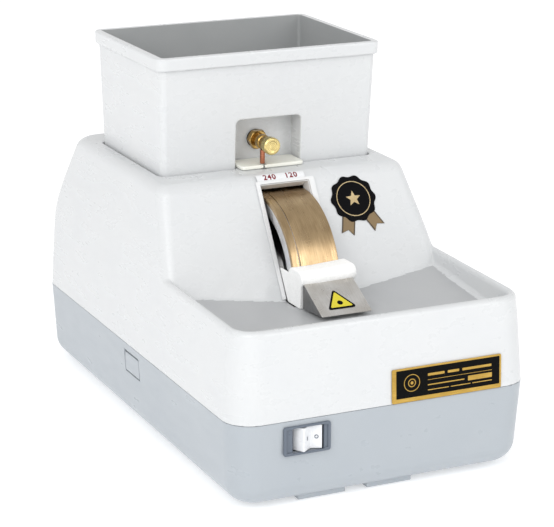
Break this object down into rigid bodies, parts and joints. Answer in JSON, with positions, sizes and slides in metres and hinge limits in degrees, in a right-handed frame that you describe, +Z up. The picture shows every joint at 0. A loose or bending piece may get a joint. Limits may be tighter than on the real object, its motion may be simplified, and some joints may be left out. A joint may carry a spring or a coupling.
{
  "type": "optical hand lens edge grinder",
  "caption": "Benchtop water-fed wheel grinder for lens edges: two-part moulded housing with a basin, lift-off water tank with brass drip tap, wheel on a motor shaft, and splash plate.",
  "frame": {"origin": "middle of the outline on the surface the feet stand on", "axes": "+X to the right of a person at the basin, +Y to the back, +Z up"},
  "size_m": [0.2282, 0.4028, 0.2764],
  "materials": {
    "upper_plastic": "satin moulded, cool off-white",
    "lower_plastic": "satin moulded, pale blue-grey",
    "white_plastic": "smooth white",
    "cream_plastic": "cream, slightly aged",
    "sponge": null,
    "bonded_bronze": "bronze-bonded abrasive, fine grain, worn by running",
    "aluminium": "turned",
    "stainless": "fine brushed",
    "steel": "plain machined",
    "zinc_plate": "zinc plated",
    "brass": "turned and polished",
    "copper": null,
    "rubber": "matt",
    "black_plastic": "moulded",
    "grey_plastic": "smooth blue-grey",
    "motor_casting": "die cast, matt",
    "printed_label": "self-adhesive label with red figures",
    "caution_yellow": "self-adhesive yellow triangle, black border",
    "black_gold_plate": "black with gold edging"
  },
  "bodies": {
    "housing": {"upper_housing": "upper_plastic", "lower_housing": "lower_plastic", "wheel_bezel": "white_plastic", "terminal_block": "white_plastic", "drip_shelf": "cream_plastic", "wheel_sponge": "sponge", "capacitor": "aluminium", "motor_bracket": "steel", "motor_shell": "steel", "stator_core": "steel", "bearing_front": "steel", "bearing_rear": "steel", "capacitor_clip": "steel", "base_plate": "zinc_plate", "motor_screw_1": "zinc_plate", "motor_screw_2": "zinc_plate", "base_screw_1": "zinc_plate", "base_screw_2": "zinc_plate", "base_screw_3": "zinc_plate", "base_screw_4": "zinc_plate", "housing_screw_1": "zinc_plate", "housing_screw_2": "zinc_plate", "housing_screw_3": "zinc_plate", "housing_screw_4": "zinc_plate", "foot_front_left": "rubber", "foot_front_right": "rubber", "foot_rear_left": "rubber", "foot_rear_right": "rubber", "shaft_seal": "rubber", "wheel_chamber": "black_plastic", "drain_spigot": "black_plastic", "mains_inlet": "black_plastic", "switch_body": "grey_plastic", "drain_tube": "grey_plastic", "motor_front_bell": "motor_casting", "motor_rear_bell": "motor_casting", "grit_label": "printed_label", "nameplate": "black_gold_plate", "award_badge": "black_gold_plate"},
    "wheel": {"wheel_core": "aluminium", "fine_ring": "bonded_bronze", "coarse_ring": "bonded_bronze", "inner_flange": "steel", "outer_flange": "steel", "wheel_nut": "zinc_plate", "motor_shaft": "steel", "rotor_core": "aluminium"},
    "tank": {"water_tank": "upper_plastic", "tap_washer": "rubber", "tap_nut": "brass", "tap_back_nut": "brass", "tap_body": "brass", "tap_spout": "copper"},
    "needle": {"tap_needle": "stainless"},
    "knob": {"tap_knob": "brass"},
    "rocker": {"switch_rocker": "white_plastic"},
    "guard": {"splash_plate": "stainless", "caution_label": "caution_yellow"},
    "fuse_drawer": {"fuse_drawer": "grey_plastic"},
    "hatch": {"side_hatch": "lower_plastic"}
  },
  "joints": [
    {"name": "wheel_spin", "type": "hinge", "parent": "housing", "child": "wheel", "pos_m": [0, -0.0289, 0.1126], "axis": [1, 0, 0], "continuous": true},
    {"name": "tank_lift", "type": "slide", "parent": "housing", "child": "tank", "axis": [0, 0, 1], "range_m": [0, 0.12]},
    {"name": "tap_advance", "type": "slide", "parent": "tank", "child": "needle", "axis": [0, -1, 0], "range_m": [0, 0.00075]},
    {"name": "tap_turn", "type": "hinge", "parent": "needle", "child": "knob", "pos_m": [-0.0038, -0.0129, 0.2066], "axis": [0, -1, 0], "range_deg": [0, 360]},
    {"name": "switch_rock", "type": "hinge", "parent": "housing", "child": "rocker", "pos_m": [-0.0607, -0.1934, 0.0495], "axis": [0, 0, -1], "range_deg": [0, 18]},
    {"name": "guard_pull", "type": "slide", "parent": "housing", "child": "guard", "axis": [0, -1, 0], "range_m": [0, 0.03]},
    {"name": "fuse_pull", "type": "slide", "parent": "housing", "child": "fuse_drawer", "axis": [0, 1, 0], "range_m": [0, 0.018]},
    {"name": "hatch_pull", "type": "slide", "parent": "housing", "child": "hatch", "axis": [-1, 0, 0], "range_m": [0, 0.012]}
  ],
  "couplings": [
    {"joint": "tap_turn", "follows": "tap_advance", "rad_per_m": 8377.5}
  ]
}
